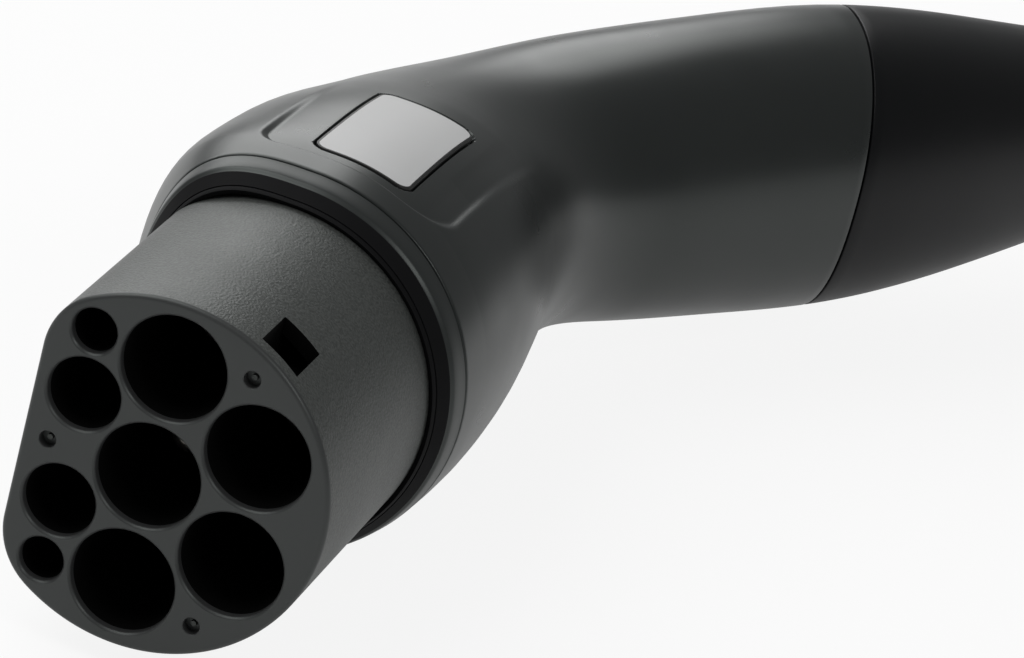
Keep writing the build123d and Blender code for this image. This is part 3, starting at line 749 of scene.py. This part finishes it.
# ============================================================ screws
# Small zinc-plated steel screws hold the retainer to the carrier and the cord clamp together.
# The retainer's have a small recess in the head and the clamp's are slotted.
zinc = finish("screw_steel", (0.4, 0.41, 0.42), (0.5, 0.51, 0.53), 0.32, 0.05, metallic=1.0)
for name in ("retainer_screws", "clamp_screws"):
    dress(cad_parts[name], zinc)

# ============================================================ coding resistor
# A small lacquered resistor, blue, tells the socket what current the cord may carry. Its leads
# are soldered between the earth and proximity contacts behind the retainer.
bead_blue = finish("resistor", (0.06, 0.12, 0.2), (0.08, 0.15, 0.24), 0.4, 0.03)
dress(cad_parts["coding_resistor"], bead_blue)

# ============================================================ seals
# Three soft black rubber seals keep water out: behind the carrier's flange, in a groove of the
# cap's spigot, and as a sleeve in the cord's opening, where it shows as a dark ring.
for name in ("carrier_seal", "cap_seal", "cable_seal"):
    dress(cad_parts[name], rubber)

# ============================================================ floor, background and light
# A pale floor keeps a soft shadow under the plug, and everything behind it is white. One broad
# soft light hangs behind on the flat side, one above, and a small one picks out the front edges.
FLOOR_REACH, FLOOR_WHITE = 4, 0.88     # half its side in metres, and the share of plain white
floor_mesh = bpy.data.meshes.new("floor")
under = float(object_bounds()[0][2])
corners = [(FLOOR_REACH * x, FLOOR_REACH * y, under) for x, y in ((-1, -1), (1, -1), (1, 1), (-1, 1))]
floor_mesh.from_pydata(corners, [], [(0, 1, 2, 3)])
floor = bpy.data.objects.new("floor", floor_mesh)
bpy.context.scene.collection.objects.link(floor)


def white_to_camera(tree, shader, share):
    """Mixes plain white over a shader: a share of it to the camera, half as much in reflections."""
    nodes, link = tree.nodes, tree.links.new
    rays = nodes.new("ShaderNodeLightPath")
    mirrored, part = nodes.new("ShaderNodeMath"), nodes.new("ShaderNodeMath")
    mirrored.operation = part.operation = "MULTIPLY_ADD"
    link(rays.outputs["Is Glossy Ray"], mirrored.inputs[0])
    mirrored.inputs[1].default_value, mirrored.inputs[2].default_value = share / 2, 0.0
    link(rays.outputs["Is Camera Ray"], part.inputs[0])
    part.inputs[1].default_value = share
    link(mirrored.outputs[0], part.inputs[2])
    white, mix = nodes.new("ShaderNodeEmission"), nodes.new("ShaderNodeMixShader")
    link(part.outputs[0], mix.inputs[0])
    link(shader, mix.inputs[1])
    link(white.outputs[0], mix.inputs[2])
    return mix.outputs[0]


paper = bpy.data.materials.new("floor_paper")
paper.use_nodes = True
surface = paper.node_tree.nodes["Principled BSDF"]
surface.inputs["Base Color"].default_value = (0.86, 0.86, 0.86, 1)
surface.inputs["Roughness"].default_value = 0.9
paper_out = paper.node_tree.nodes["Material Output"].inputs["Surface"]
paper.node_tree.links.new(white_to_camera(paper.node_tree, surface.outputs[0], FLOOR_WHITE), paper_out)
floor_mesh.materials.append(paper)

world = bpy.data.worlds.new("studio")
bpy.context.scene.world = world
world.use_nodes = True
nodes, link = world.node_tree.nodes, world.node_tree.links.new
sky = nodes["Background"]
sky.inputs["Color"].default_value = (0.21, 0.215, 0.215, 1)
rays, backdrop = nodes.new("ShaderNodeLightPath"), nodes.new("ShaderNodeBackground")
choose = nodes.new("ShaderNodeMixShader")
backdrop.inputs["Color"].default_value = (1, 1, 1, 1)
link(rays.outputs["Is Camera Ray"], choose.inputs[0])
link(sky.outputs[0], choose.inputs[1])
link(backdrop.outputs[0], choose.inputs[2])
link(choose.outputs[0], nodes["World Output"].inputs["Surface"])


def softbox(name, place, aim, size, watts):
    """Rectangular lamp at a place, turned so that it shines at a point."""
    lamp = bpy.data.lights.new(name, "AREA")
    lamp.shape, lamp.size, lamp.size_y, lamp.energy = "RECTANGLE", size[0], size[1], watts
    obj = bpy.data.objects.new(name, lamp)
    obj.location = place
    obj.rotation_euler = (Vector(aim) - Vector(place)).to_track_quat("-Z", "Y").to_euler()
    bpy.context.scene.collection.objects.link(obj)


softbox("back_box", (0.76, 0.6, 0.62), (0, 0, 0.03), (1.0, 0.8), 6.2)
softbox("top_box", (-0.25, 0.65, 1.05), (0, 0, 0.03), (0.9, 0.9), 8)
softbox("edge_box", (-0.48, -0.66, 0.75), (-0.1, 0, 0.03), (0.3, 0.3), 1.7)

# ============================================================ camera
# A long lens looks down on the nose from its front, a little to the grip's side, and leans over
# so that the plug runs from the lower left to the upper right of the picture.
lens = bpy.data.cameras.new("view")
lens.sensor_width = 36.0
lens.lens = 193.36
camera = bpy.data.objects.new("view", lens)
right = Vector((0.30469, -0.92223, 0.23803))
ahead = Vector((0.89395, 0.19067, -0.40558))
axes = Matrix((right, right.cross(ahead), -ahead)).transposed()
stand = Vector(NOSE_FACE) + Vector((-0.68383, -0.19201, 0.35190))
camera.matrix_world = Matrix.Translation(stand) @ axes.to_4x4()
bpy.context.scene.collection.objects.link(camera)
bpy.context.scene.camera = camera

bpy.context.scene.view_settings.view_transform = "Standard"
